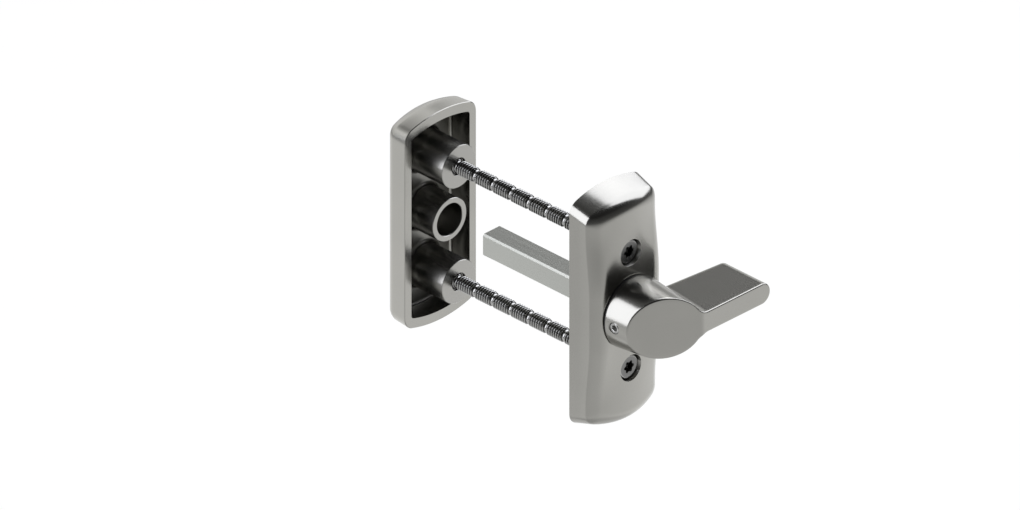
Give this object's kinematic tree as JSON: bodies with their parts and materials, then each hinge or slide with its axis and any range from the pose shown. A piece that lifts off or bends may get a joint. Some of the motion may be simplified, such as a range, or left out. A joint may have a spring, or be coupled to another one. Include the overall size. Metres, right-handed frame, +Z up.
{
  "type": "thumb turn",
  "caption": "Lever thumb turn on a domed door plate, with a square spindle and two through screws that draw a hollow rear plate against the door.",
  "frame": {"origin": "on the turning axis of the spindle, in the plane of the front plate's door face", "axes": "+X along the lever towards its tip, +Y from the thumb turn through the door to the rear plate, +Z up"},
  "size_m": [0.056, 0.1178, 0.0856],
  "materials": {
    "satin_nickel": "satin nickel plating on a cast metal, soft broad reflections",
    "bright_steel": "bright drawn steel with fine lengthways lines",
    "dark_steel": "dark zinc-plated steel with sharp glints",
    "dark_polymer": "matt dark bearing plastic"
  },
  "bodies": {
    "front": {"front_plate": "satin_nickel", "neck_bush": "dark_polymer"},
    "turn": {"thumb_turn": "satin_nickel", "spindle": "bright_steel", "grub_screw": "dark_steel", "spring_washer": "bright_steel", "retaining_ring": "dark_steel"},
    "upper_screw": {"upper_fixing_screw": "dark_steel"},
    "lower_screw": {"lower_fixing_screw": "dark_steel"},
    "rear": {"rear_plate": "satin_nickel", "upper_threaded_post": "satin_nickel", "lower_threaded_post": "satin_nickel", "centre_guide_post": "satin_nickel"}
  },
  "joints": [
    {"name": "thumb_turn_hinge", "type": "hinge", "parent": "front", "child": "turn", "pos_m": [0, 0, 0], "axis": [0, 1, 0], "range_deg": [-90, 90]},
    {"name": "rear_plate_slide", "type": "slide", "parent": "front", "child": "rear", "axis": [0, -1, 0], "range_m": [-0.004, 0.0064]},
    {"name": "upper_screw_turn", "type": "hinge", "parent": "front", "child": "upper_screw", "pos_m": [0, 0, 0.021], "axis": [0, 1, 0], "range_deg": [-1801, 2881]},
    {"name": "lower_screw_turn", "type": "hinge", "parent": "front", "child": "lower_screw", "pos_m": [0, 0, -0.021], "axis": [0, 1, 0], "range_deg": [-1801, 2881]}
  ],
  "couplings": [
    {"joint": "upper_screw_turn", "follows": "rear_plate_slide", "rad_per_m": 7854},
    {"joint": "lower_screw_turn", "follows": "rear_plate_slide", "rad_per_m": 7854}
  ]
}
